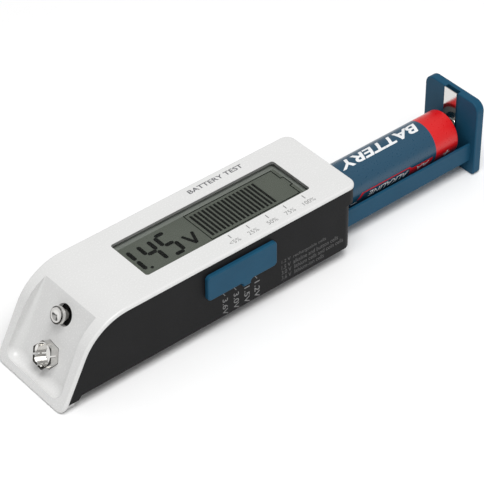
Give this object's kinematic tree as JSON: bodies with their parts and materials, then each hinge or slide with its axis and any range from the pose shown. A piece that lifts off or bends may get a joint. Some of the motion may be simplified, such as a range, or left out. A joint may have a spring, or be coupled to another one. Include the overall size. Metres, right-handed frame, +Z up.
{
  "type": "battery tester",
  "caption": "Hand-held battery tester: white cover with sloped 9 V terminal nose, LCD window, side selector, black lower shell, and a spring-loaded drawer holding an AA cell.",
  "frame": {"origin": "on the rest plane, under the middle of the tester's length, on the housing's middle plane", "axes": "+X from the terminal nose to the drawer's end plate, +Z up out of the display, +Y away from the selector side"},
  "size_m": [0.1617, 0.0322, 0.0264],
  "materials": {
    "white_cover": "satin",
    "black_shell": "fine texture",
    "blue_plastic": "satin",
    "clear_window": "clear",
    "lcd_film": "clear",
    "lcd_glass": "clear",
    "lcd_back": "matte",
    "zebra_rubber": "matte",
    "grey_plastic": "matte",
    "board_green": "satin",
    "chip_black": "matte",
    "ferrite": "matte",
    "can_aluminium": "satin",
    "screw_steel": "bright",
    "switch_steel": "satin",
    "nickel": "polished nickel",
    "spring_steel": "bright",
    "wire_red": "satin",
    "wire_black": "satin",
    "cell_label": "printed film",
    "can_steel": "plated",
    "seal_plastic": "matte"
  },
  "bodies": {
    "housing": {"top_cover": "white_cover", "bottom_shell": "black_shell", "window_pane": "clear_window", "lcd_front_polariser": "lcd_film", "lcd_front_glass": "lcd_glass", "lcd_rear_glass": "lcd_glass", "lcd_reflector": "lcd_back", "zebra_strips": "zebra_rubber", "lcd_frame": "grey_plastic", "circuit_board": "board_green", "controller_chip": "chip_black", "converter_chip": "chip_black", "boost_inductor": "ferrite", "electrolytic_capacitors": "can_aluminium", "load_resistors": "chip_black", "board_screws": "screw_steel", "case_screws": "screw_steel", "selector_switch": "switch_steel", "stud_terminal": "nickel", "socket_terminal": "nickel", "terminal_board": "board_green", "socket_spacer": "grey_plastic", "socket_lead": "wire_red", "stud_lead": "wire_black", "contact_lead": "wire_black", "negative_contact": "nickel", "strip_brush": "nickel", "return_spring": "spring_steel", "spring_hook_fixed": "spring_steel"},
    "drawer": {"drawer": "blue_plastic", "contact_strip": "nickel", "spring_hook_drawer": "spring_steel"},
    "selector": {"selector_knob": "blue_plastic", "switch_slider": "chip_black"},
    "cell": {"cell_jacket": "cell_label", "cell_can": "can_steel", "cell_seal": "seal_plastic", "cell_positive_cap": "nickel", "cell_negative_base": "nickel"}
  },
  "joints": [
    {"name": "drawer_slide", "type": "slide", "parent": "housing", "child": "drawer", "axis": [1, 0, 0], "range_m": [0, 0.012], "stiffness_N_per_m": 50, "springref_m": -0.0514, "deforming": ["return_spring"]},
    {"name": "selector_slide", "type": "slide", "parent": "housing", "child": "selector", "axis": [1, 0, 0], "range_m": [-0.0079, 0.00395]},
    {"name": "cell_lift", "type": "slide", "parent": "drawer", "child": "cell", "axis": [0, 0, 1], "range_m": [0, 0.025]}
  ]
}
